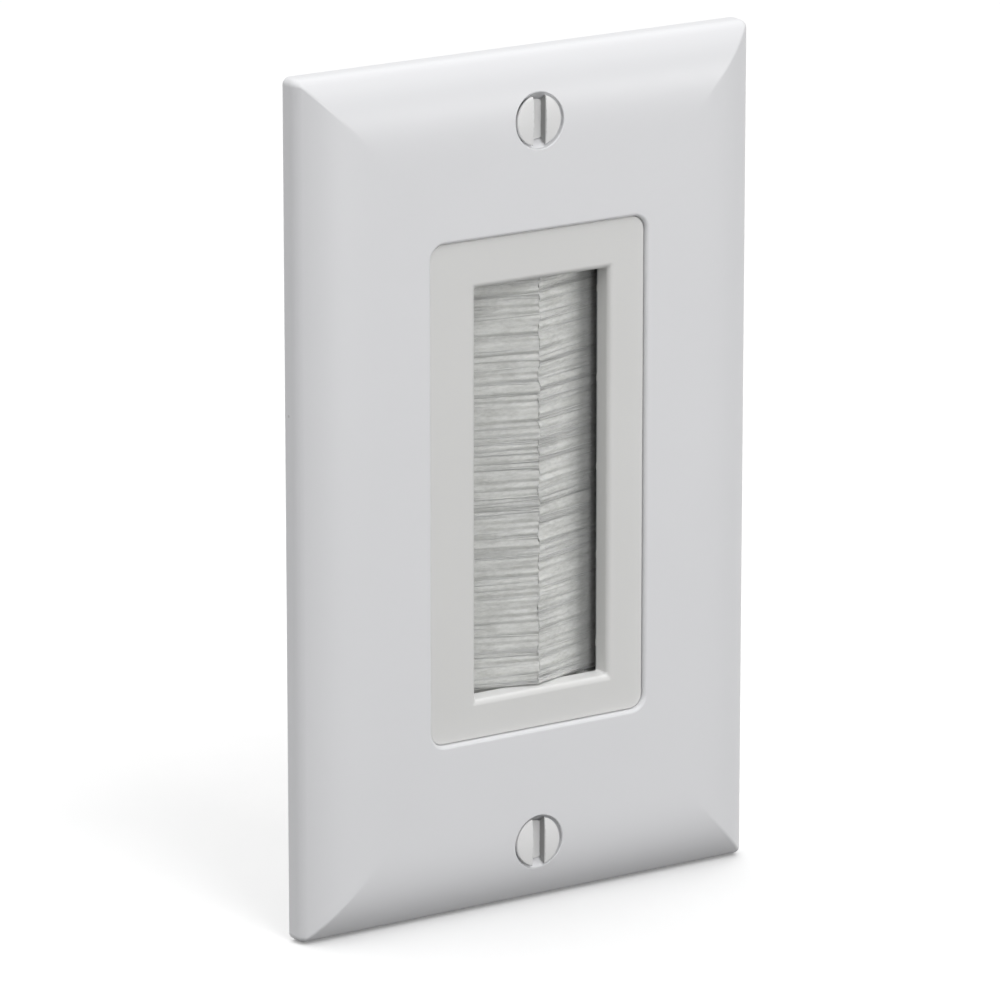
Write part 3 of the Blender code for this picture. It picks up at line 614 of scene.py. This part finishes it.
NYLON = {"IOR": 1.53, "Subsurface_Weight": 0.6, "Subsurface_Radius": (1.0, 1.0, 0.92),
         "Subsurface_Scale": 0.5 * MM}
bristle_nylon = finish("bristle_nylon", nylon_surface, **NYLON)
packed_nylon = finish("packed_nylon", packed_surface, **NYLON)
for side, seed in (("left", 11), ("right", 12)):
    row = filament_row(f"{side}_filaments", side, seed)
    fitted(f"{side}_filaments", row, bristle_nylon, f"{side}_bristles",
           smooth_below=80)
    fitted(f"{side}_packed_filaments", filament_mat(f"{side}_mat", side, seed + 10), packed_nylon,
           f"{side}_bristles", smooth_below=50)


# Rear retainer: a flat white frame behind the strips, snapped under the skirt's hooks. It presses
# the brushes against the seat ribs and leaves the passage for the cables free.

eased_copy("rear_retainer", "brush_retainer", insert_plastic, 0.15 * MM)


# Box screws: two zinc-plated steel screws, round-headed and slotted, that draw the strap onto the
# wall box. A small fibre washer on each, behind the strap, keeps it from falling out.

THREAD_PITCH = 0.794 * MM
SHANK_RADIUS = 1.75 * MM
THREAD_DEPTH = 0.42 * MM


def threaded(name, start_y, end_y, place, segments=28, rows_per_turn=12):
    """Shank with a thread: the radius falls and rises once per pitch along the depth, and the
    place in that pitch moves on by a whole pitch in one turn round. It fades out at both ends."""
    rows = int((end_y - start_y) / THREAD_PITCH * rows_per_turn)
    y = np.linspace(end_y, start_y, rows)[:, None]
    angle = np.linspace(0, 2 * np.pi, segments, endpoint=False)
    phase = (y / THREAD_PITCH - angle / (2 * np.pi)) % 1
    groove = np.clip(1.25 - np.abs(phase - 0.5) * 2.9, 0, 1)
    fade = np.clip((y - start_y) / (0.8 * MM), 0, 1)
    point = np.clip((end_y - y) / (0.6 * MM), 0, 1)
    radius = (SHANK_RADIUS - THREAD_DEPTH * groove * fade) * (0.74 + 0.26 * point ** 0.6)
    grid = np.stack([place[0] + radius * np.cos(angle), y + 0 * angle,
                     place[1] + radius * np.sin(angle)], axis=-1)
    return skin(name, grid[None], "capped")


def slot_tool(name, half_width, lip, top_y, floor_y, head_radius, crown, place):
    """Cutter for a driver slot whose lips follow the head's crown.

    Along the slot, the head's surface is its top plus the crown's height times the square of the
    distance from the middle over the head's radius. Across it, each lip is a quarter circle.
    """
    z = np.linspace(-1.25, 1.25, 41) * head_radius
    surface = top_y + crown * np.clip(np.abs(z) / head_radius, 0, 1) ** 2
    turn = np.radians(np.linspace(0, 90, 5))
    lip_x = half_width + lip * (1 - np.cos(turn))
    lip_drop = lip * (1 - np.sin(turn))
    right = [(x, drop) for x, drop in zip(lip_x, lip_drop)]
    across = np.array([x for x, _ in right] + [half_width + lip] + [-half_width - lip]
                      + [-x for x, _ in right[::-1]])
    drop = np.array([d for _, d in right] + [-2 * MM, -2 * MM] + [d for _, d in right[::-1]])
    ring_y = surface[:, None] + drop - 0.004 * MM
    floor = np.full((len(z), 1), floor_y)
    ring_y = np.concatenate([floor, ring_y, floor], axis=1)
    ring_x = np.concatenate([[half_width], across, [-half_width]])
    grid = np.stack([place[0] + ring_x + 0 * ring_y, ring_y,
                     place[1] + z[:, None] + 0 * ring_y], axis=-1)
    mesh = skin(name, grid[None], "capped")
    shape = bmesh.new()
    shape.from_mesh(mesh)
    bmesh.ops.recalc_face_normals(shape, faces=shape.faces)
    shape.to_mesh(mesh)
    shape.free()
    return mesh


def crown_profile(radius, base_y, height, edge):
    """Head's crown from its rounded edge to its middle: a height times one less the square of the
    distance from the middle over the radius."""
    angle = np.radians(np.linspace(180, 262, 7))
    out = [(radius - edge + edge * -np.cos(a), base_y + edge + edge * np.sin(a)) for a in angle]
    reach = out[-1][0]
    start_y = out[-1][1]
    shares = np.linspace(1, 0.02, 14)[1:]
    return out + [(reach * s, start_y - height * (1 - s ** 2)) for s in shares]


BOX_SCREW_SEAT_Y = -1.9 * MM
BOX_HEAD_RADIUS = 3.2 * MM
BOX_HEAD_CROWN = 0.85 * MM
BOX_HEAD_LAND_Y = -2.5 * MM
BOX_SLOT_HALF_OPENING = 0.85 * MM
BOX_SCREW_END_Y = 23.5 * MM
for end, label in ((1, "top"), (-1, "bottom")):
    place = (0.0, end * BOX_SCREW_Z)
    head = turned("head", [(1.2 * MM, BOX_SCREW_SEAT_Y),
                           (BOX_HEAD_RADIUS - 0.1 * MM, BOX_SCREW_SEAT_Y),
                           (BOX_HEAD_RADIUS, BOX_SCREW_SEAT_Y - 0.1 * MM),
                           *crown_profile(BOX_HEAD_RADIUS, BOX_HEAD_LAND_Y, BOX_HEAD_CROWN,
                                          0.25 * MM)], place)
    tool = slot_tool("slot", BOX_SLOT_HALF_OPENING, 0.06 * MM, BOX_HEAD_LAND_Y - BOX_HEAD_CROWN,
                     BOX_HEAD_LAND_Y, BOX_HEAD_RADIUS, BOX_HEAD_CROWN, place)
    shank = threaded("shank", BOX_SCREW_SEAT_Y - 0.1 * MM, BOX_SCREW_END_Y, place)
    fitted(f"box_screw_{label}_turned", together("box_screw", carved(head, tool), shank),
           zinc_steel, f"box_screw_{label}", smooth_below=38)


def fibre_surface(place):
    """Pressed fibre: tan with darker flecks and a dry, hairy surface."""
    flecks = place.grain(0.18 * MM, 4.0, stretch=(1, 1, 0.5), rough=0.7)
    hairs = place.grain(0.05 * MM, 2.0, stretch=(0.2, 1, 1))
    return {"Base Color": flecks.between(0.3, 0.7).tint((0.34, 0.28, 0.19), (0.55, 0.47, 0.34)),
            "Roughness": 0.75 + 0.15 * hairs,
            "Normal": (flecks + hairs).relief(0.02 * MM, 0.6)}


washer_fibre = finish("washer_fibre", fibre_surface)
for label in ("top", "bottom"):
    eased_copy(f"fibre_washer_{label}", f"retaining_washer_{label}", washer_fibre,
               0.06 * MM)


# Cover plate: one white moulding with a satin gloss. Its face falls away to a straight rim in four
# convex slopes that meet in mitres. Behind, it is hollow, with a collar round the opening, ribs on
# both sides and a boss under each screw hole.

PLATE_OUTLINE = (34.925 * MM, 57.15 * MM, 1.0 * MM, 0.0, 0.0)
PLATE_DEPTH = 6.3 * MM
PLATE_RIM = 2.6 * MM
PLATE_RIM_EDGE = 2.2 * MM
PLATE_SLOPE_RUN = 14 * MM
PLATE_SLOPE_POWER = 3.8
PLATE_WALL = 2.1 * MM
OPENING_OUTLINE = (16.65 * MM, 33.40 * MM, 2.0 * MM, 0.0, OPENING_RISE)
OPENING_EDGE = 0.5 * MM
COLLAR_WALL = 1.2 * MM
STIFFENER_BACK_Y = -2.2 * MM
STIFFENER_SPACING = 22 * MM
SCREW_HEAD_Y = -6.02 * MM
SEAT_RADIUS = 3.68 * MM
SEAT_LIP = 0.16 * MM
CONE = math.tan(math.radians(41))
SCREW_LAND = 0.35 * MM
BOSS_RADIUS = 3.1 * MM
BOSS_FRONT_Y = -4.3 * MM


def plate_front(inset):
    """Height of the front above the wall, at a distance in from the plate's outer edge: the rim's
    height, plus the rise times one less a power of the share of the slope that is still left."""
    share = np.clip(1 - inset / PLATE_SLOPE_RUN, 0, None)
    return PLATE_RIM + (PLATE_DEPTH - PLATE_RIM) * (1 - share ** PLATE_SLOPE_POWER)


def plate_slope(inset):
    """Angle of the front to the wall at the same distance, from the slope of that curve."""
    share = np.clip(1 - inset / PLATE_SLOPE_RUN, 0, None)
    rise = PLATE_SLOPE_POWER * (PLATE_DEPTH - PLATE_RIM) / PLATE_SLOPE_RUN
    return np.arctan(rise * share ** (PLATE_SLOPE_POWER - 1))


def plate_shell():
    """Wall through rim, slope, face, opening, collar and hollow, back to the rim."""
    meeting = 90 - math.degrees(plate_slope(0.3 * PLATE_RIM_EDGE))
    first = PLATE_RIM_EDGE * (1 - math.cos(math.radians(meeting)))
    middle_y = -plate_front(first) + PLATE_RIM_EDGE * math.sin(math.radians(meeting))
    slope = first + (PLATE_SLOPE_RUN - first) * np.linspace(0, 1, 72)[1:] ** 1.2
    inner = PLATE_WALL + (PLATE_SLOPE_RUN - PLATE_WALL) * np.linspace(0, 1, 30)
    collar_rear = STIFFENER_BACK_Y - MOULDED_EDGE
    return shell("plate_shell", [
        *bend(PLATE_OUTLINE, MOULDED_EDGE, -MOULDED_EDGE, MOULDED_EDGE, 90, 180, 4),
        *bend(PLATE_OUTLINE, PLATE_RIM_EDGE, middle_y, PLATE_RIM_EDGE, 180, 180 + meeting),
        *[(PLATE_OUTLINE, inset, -plate_front(inset)) for inset in slope],
        *bend(OPENING_OUTLINE, -OPENING_EDGE, -PLATE_DEPTH + OPENING_EDGE, OPENING_EDGE, 270, 360,
              9),
        *bend(OPENING_OUTLINE, -MOULDED_EDGE, collar_rear, MOULDED_EDGE, 0, 90, 4),
        *bend(OPENING_OUTLINE, MOULDED_EDGE - COLLAR_WALL, collar_rear, MOULDED_EDGE, 90, 180, 4),
        (OPENING_OUTLINE, -COLLAR_WALL, PLATE_WALL - PLATE_DEPTH),
        *[(PLATE_OUTLINE, inset, PLATE_WALL / math.cos(plate_slope(inset)) - plate_front(inset))
          for inset in inner[::-1]],
        *bend(PLATE_OUTLINE, PLATE_WALL - MOULDED_EDGE, -MOULDED_EDGE, MOULDED_EDGE, 0, 90, 4),
    ])


def seat_tool(name, end):
    """Cutter for a countersunk screw hole, turned about the hole's middle.

    Its lower rings are level. Its upper ones follow the plate's front at each of their points, and
    widen there along a quarter circle from the hole's wall onto the slope.
    """
    angle = np.linspace(0, 2 * np.pi, 96, endpoint=False)
    turn = np.radians(np.linspace(0, 90, 7))
    land_y = SCREW_HEAD_Y + SCREW_LAND
    level = [(SCREW_HOLE_RADIUS, 1 * MM),
             (SCREW_HOLE_RADIUS, land_y + (SEAT_RADIUS - SCREW_HOLE_RADIUS) / CONE),
             (SEAT_RADIUS, land_y)]
    lip = np.stack([SEAT_RADIUS + SEAT_LIP * (1 - np.cos(turn)), SEAT_LIP * (1 - np.sin(turn))],
                   axis=1)
    above = [(SEAT_RADIUS + SEAT_LIP, -0.2 * MM), (SEAT_RADIUS + SEAT_LIP, -2 * MM)]
    radius, depth = np.concatenate([level, lip, above]).T[:, :, None]
    x, z = radius * np.cos(angle), radius * np.sin(angle)
    front = plate_front(PLATE_OUTLINE[1] - PLATE_SCREW_Z - end * z) + 0.003 * MM
    follows = (np.arange(len(radius)) >= len(level))[:, None]
    grid = np.stack([x, depth - follows * front, end * PLATE_SCREW_Z + z], axis=-1)
    return skin(name, grid[None], "capped")


def plate_surface(place):
    """Satin white with faint flow clouds, a slight orange peel, and a few specks in the resin."""
    clouds = place.grain(9 * MM, 2.0)
    peel = place.grain(1.1 * MM, 2.0)
    grain = place.grain(0.16 * MM, 2.0)
    cells, middle = (place.node("ShaderNodeTexVoronoi", {"feature": "F1"},
                                {"Vector": place, "Scale": 190.0}, output=part)
                     for part in (0, 2))
    chance = place.node("ShaderNodeTexWhiteNoise", {}, {"Vector": middle})
    speck = (1 - cells.between(0.02, 0.05)) * (chance > 0.9)
    clean = (0.8 * clouds + 0.2 * grain).tint((0.815, 0.818, 0.834), (0.845, 0.848, 0.864))
    return {"Base Color": place.node("ShaderNodeMix", {"data_type": "RGBA"},
                                     {0: 0.35 * speck, 6: clean, 7: (0.30, 0.29, 0.27, 1)},
                                     output=2),
            "Roughness": 0.30 + 0.06 * peel + 0.05 * grain,
            "Normal": (0.8 * peel + 0.2 * grain).relief(0.010 * MM, 0.35)}


plate_plastic = finish("plate_plastic", plate_surface, IOR=1.5)

cover = carved(plate_shell(), seat_tool("upper_seat", 1), seat_tool("lower_seat", -1))
cone_y = SCREW_HEAD_Y + SCREW_LAND + (SEAT_RADIUS - SCREW_HOLE_RADIUS) / CONE
backing = []
for end in (-1, 1):
    clear = SCREW_HOLE_RADIUS + 0.02 * MM
    backing.append(turned("boss", [(BOSS_RADIUS, STIFFENER_BACK_Y), (BOSS_RADIUS, BOSS_FRONT_Y),
                                   (clear + (cone_y - BOSS_FRONT_Y) * CONE, BOSS_FRONT_Y),
                                   (clear, cone_y), (clear, STIFFENER_BACK_Y)],
                          (0, end * PLATE_SCREW_Z), ends="joined"))
for sign in (-1, 1):
    for z in (-STIFFENER_SPACING, 0, STIFFENER_SPACING):
        rib = (5.99 * MM, 0.5 * MM, 0.1 * MM, sign * 23.44 * MM, z)
        backing.append(lump("rib", [(rib, 0.1 * MM, STIFFENER_BACK_Y),
                                    (rib, 0, STIFFENER_BACK_Y - 0.1 * MM), (rib, 0, -4.6 * MM)]))
fitted("cover_plate", together("cover_plate", cover, *backing), plate_plastic, "wall_plate")


# Plate screws: two steel screws with a countersunk, slightly domed head painted to match the plate,
# and a bare zinc-plated thread. Their slots are left upright, and the paint is thin on their lips.

HEAD_RADIUS = 3.35 * MM
HEAD_CROWN = 0.3 * MM
SLOT_HALF_WIDTH = 0.95 * MM
SLOT_LIP = 0.07 * MM
PLATE_SCREW_LENGTH = 12.7 * MM


def paint_surface(place):
    """White enamel with a soft orange peel, a little grey where it wears along the slot's lips. The
    slot's inner sides are painted dark as painted shade."""
    peel = place.grain(0.35 * MM, 2.0)
    sideways, depth = (place.node("ShaderNodeSeparateXYZ", {}, {0: place}, output=part)
                       for part in range(2))
    across = sideways.maths("ABSOLUTE", sideways)
    # Painted shade: the slot's inner sides, below the head's top, get a dark colour.
    slot_sides_painted_shade = depth.between(SCREW_HEAD_Y - 0.1 * MM, SCREW_HEAD_Y + 0.2 * MM) \
        * (across < SLOT_HALF_WIDTH + 0.1 * MM) * (depth < SCREW_HEAD_Y + 1.1 * MM)
    patch = place.grain(0.3 * MM, 3.0)
    lip = across - (SLOT_HALF_WIDTH + 0.05 * MM)
    lip_wear_and_painted_ledge_light = (1 - lip.maths("ABSOLUTE", lip).between(0.0, 0.12 * MM)) * patch.between(0.45, 0.7)
    # The grey on the lips is wear; the dark on the slot's inner sides is painted shade.
    lip_wear_and_painted_slot_shade = (0.3 * lip_wear_and_painted_ledge_light).maths("MAXIMUM", 0.3 * lip_wear_and_painted_ledge_light, 0.9 * slot_sides_painted_shade)
    return {"Base Color": lip_wear_and_painted_slot_shade.tint((0.865, 0.865, 0.862), (0.30, 0.30, 0.30)),
            "Roughness": 0.26 + 0.08 * peel + 0.2 * lip_wear_and_painted_ledge_light,
            "Normal": peel.relief(0.012 * MM, 0.5)}


screw_paint = finish("screw_paint", paint_surface, IOR=1.5)
for end, label in ((1, "top"), (-1, "bottom")):
    place = (0.0, end * PLATE_SCREW_Z)
    land_y = SCREW_HEAD_Y + SCREW_LAND
    neck_y = land_y + (HEAD_RADIUS - SHANK_RADIUS) / CONE
    head = turned("head", [(SHANK_RADIUS * 0.7, neck_y), (SHANK_RADIUS, neck_y),
                           (HEAD_RADIUS, land_y),
                           *crown_profile(HEAD_RADIUS, SCREW_HEAD_Y - 0.02 * MM,
                                          HEAD_CROWN - 0.04 * MM, 0.16 * MM)], place, segments=96)
    tool = slot_tool("slot", SLOT_HALF_WIDTH, SLOT_LIP, SCREW_HEAD_Y - 0.28 * MM,
                     SCREW_HEAD_Y + 1.2 * MM, HEAD_RADIUS, HEAD_CROWN - 0.04 * MM, place)
    fitted(f"plate_screw_{label}_head", carved(head, tool), screw_paint, f"plate_screw_{label}",
           smooth_below=38)
    shank = threaded("shank", neck_y - 0.1 * MM, SCREW_HEAD_Y + PLATE_SCREW_LENGTH, place)
    fitted(f"plate_screw_{label}_shank", shank, zinc_steel, f"plate_screw_{label}",
           smooth_below=38)


# Studio: a pale floor under the plate, three soft lamps in front of it, an even sky that is
# brighter on the left, overhead and behind, and the camera at the photograph's angle.


def floor_surface(place):
    """Matte white sheet with a faint tooth."""
    tooth = place.grain(3 * MM, 3.0)
    return {"Base Color": tooth.tint((0.92, 0.92, 0.92), (0.95, 0.95, 0.95)),
            "Roughness": 0.7 + 0.2 * tooth}


def soft_lamp(name, place, size, power):
    """Square lamp at a place, turned to the origin."""
    light = bpy.data.lights.new(name, "AREA")
    light.shape = "SQUARE"
    light.size = size
    light.energy = power
    lamp = loose(name, light)
    lamp.location = place
    lamp.rotation_euler = (-Vector(place)).to_track_quat("-Z", "Y").to_euler()


floor_paper = finish("floor_paper", floor_surface, Emission_Color=(1, 1, 1, 1),
                     Emission_Strength=0.16)
FLOOR_Z = -57.3 * MM
floor_mesh = bpy.data.meshes.new("floor")
floor_mesh.from_pydata([(-4, -4, FLOOR_Z), (4, -4, FLOOR_Z), (4, 4, FLOOR_Z), (-4, 4, FLOOR_Z)],
                       [], [(0, 1, 2, 3)])
floor_mesh.materials.append(floor_paper)
floor = loose("floor", floor_mesh)
floor.visible_diffuse = False

soft_lamp("window_lamp", (0.0, -1.295, 0.113), 0.6, 5.6)
soft_lamp("upper_lamp", (0.0, -0.836, 0.996), 0.6, 4.1)
soft_lamp("side_lamp", (0.823, -0.981, 0.226), 0.35, 3.1)

world = bpy.data.worlds.new("studio")
bpy.context.scene.world = world
world.use_nodes = True
sky = world.node_tree.nodes["Background"]
sky.inputs["Color"].default_value = (1, 1, 1, 1)
ray = Feed(world.node_tree, world.node_tree.nodes.new("ShaderNodeTexCoord").outputs["Generated"])
sideways, depth, height = (ray.node("ShaderNodeSeparateXYZ", {}, {0: ray}, output=part)
                           for part in range(3))
left = 1 - sideways.between(-0.6, -0.4)
behind = depth.between(0.05, 0.3)
above = height.between(0.6, 0.8)
glow = (height > 0.0) * (0.07 + 0.92 * left + (1 - left) * (0.8 * above + 0.65 * behind))
world.node_tree.links.new(glow.socket, sky.inputs["Strength"])

camera_data = bpy.data.cameras.new("camera")
camera_data.sensor_width = 36.0
camera_data.lens = 265.4
camera_data.clip_start = 0.05
camera = loose("camera", camera_data)
camera.location = (-0.51225, -0.77343, 0.25012)
camera.rotation_euler = Vector((0.5312, 0.8053, -0.2635)).to_track_quat("-Z", "Y").to_euler()
bpy.context.scene.camera = camera
bpy.context.scene.view_settings.view_transform = "Standard"
